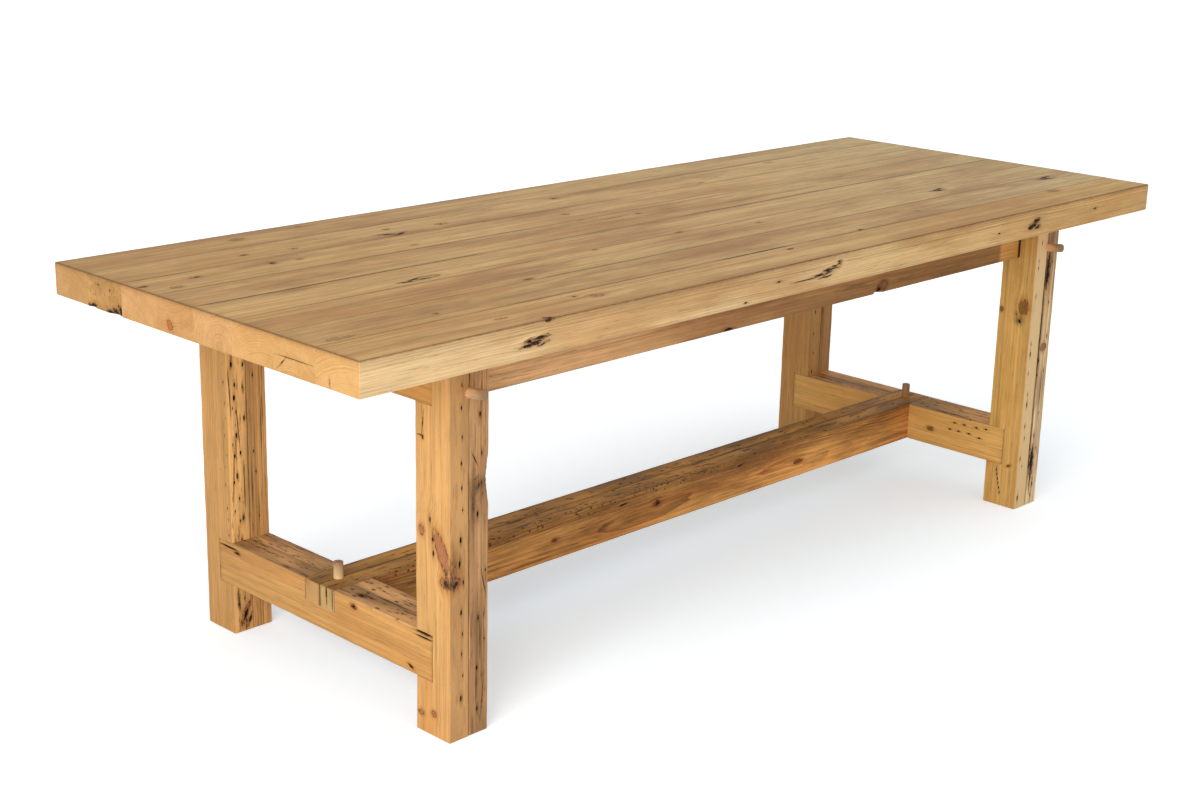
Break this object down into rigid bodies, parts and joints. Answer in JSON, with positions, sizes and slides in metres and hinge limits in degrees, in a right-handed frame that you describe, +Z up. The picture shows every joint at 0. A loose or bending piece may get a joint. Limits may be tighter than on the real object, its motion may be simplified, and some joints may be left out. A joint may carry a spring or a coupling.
{
  "type": "trestle dining table",
  "caption": "Long dining table with a thick plank top on laminated timber end frames, joined by a low half-lapped stretcher that is held by round wooden pegs.",
  "frame": {"origin": "on the floor, under the middle of the top", "axes": "+X along the length towards the right end, +Y from the front long side to the back, +Z up"},
  "size_m": [2.4, 0.9, 0.768],
  "materials": {
    "plank_pine": "planed reclaimed pine, clear matt oil",
    "leg_pine": "planed reclaimed pine with nail holes and stains",
    "rail_pine": "planed faces, weathered upper face",
    "apron_pine": "brushed reclaimed pine, reddish brown",
    "stretcher_pine": "brushed reclaimed pine, weathered upper face",
    "peg_wood": "turned dowel, bare",
    "dowel_wood": "plain beech dowel",
    "screw_steel": "zinc-plated"
  },
  "bodies": {
    "frame": {"top_plank_1": "plank_pine", "top_plank_2": "plank_pine", "top_plank_3": "plank_pine", "top_plank_4": "plank_pine", "top_plank_5": "plank_pine", "top_plank_6": "plank_pine", "top_plank_7": "plank_pine", "top_plank_8": "plank_pine", "front_left_leg_outer": "leg_pine", "front_left_leg_inner": "leg_pine", "back_left_leg_outer": "leg_pine", "back_left_leg_inner": "leg_pine", "front_right_leg_outer": "leg_pine", "front_right_leg_inner": "leg_pine", "back_right_leg_outer": "leg_pine", "back_right_leg_inner": "leg_pine", "left_foot_rail_outer": "rail_pine", "left_foot_rail_inner": "rail_pine", "right_foot_rail_outer": "rail_pine", "right_foot_rail_inner": "rail_pine", "left_top_rail_outer": "rail_pine", "left_top_rail_inner": "rail_pine", "right_top_rail_outer": "rail_pine", "right_top_rail_inner": "rail_pine", "front_apron": "apron_pine", "back_apron": "apron_pine", "plank_dowels": "dowel_wood", "foot_rail_dowels": "dowel_wood", "apron_dowels": "dowel_wood", "top_screws": "screw_steel", "top_screw_washers": "screw_steel"},
    "stretcher": {"front_stretcher": "stretcher_pine", "back_stretcher": "stretcher_pine"},
    "front_left_leg_peg": {"front_left_leg_peg": "peg_wood"},
    "back_left_leg_peg": {"back_left_leg_peg": "peg_wood"},
    "front_right_leg_peg": {"front_right_leg_peg": "peg_wood"},
    "back_right_leg_peg": {"back_right_leg_peg": "peg_wood"},
    "left_stretcher_peg": {"left_stretcher_peg": "peg_wood"},
    "right_stretcher_peg": {"right_stretcher_peg": "peg_wood"}
  },
  "joints": [
    {"name": "front_left_leg_peg_pull", "type": "slide", "parent": "frame", "child": "front_left_leg_peg", "axis": [0, -0.9925, 0.1219], "range_m": [0, 0.08]},
    {"name": "back_left_leg_peg_pull", "type": "slide", "parent": "frame", "child": "back_left_leg_peg", "axis": [0, 0.9925, 0.1219], "range_m": [0, 0.08]},
    {"name": "front_right_leg_peg_pull", "type": "slide", "parent": "frame", "child": "front_right_leg_peg", "axis": [0, -0.9925, 0.1219], "range_m": [0, 0.08]},
    {"name": "back_right_leg_peg_pull", "type": "slide", "parent": "frame", "child": "back_right_leg_peg", "axis": [0, 0.9925, 0.1219], "range_m": [0, 0.08]},
    {"name": "stretcher_lift", "type": "slide", "parent": "frame", "child": "stretcher", "axis": [0, 0, 1], "range_m": [0, 0.15]},
    {"name": "left_stretcher_peg_pull", "type": "slide", "parent": "stretcher", "child": "left_stretcher_peg", "axis": [0, 0, 1], "range_m": [0, 0.09]},
    {"name": "right_stretcher_peg_pull", "type": "slide", "parent": "stretcher", "child": "right_stretcher_peg", "axis": [0, 0, 1], "range_m": [0, 0.09]}
  ]
}
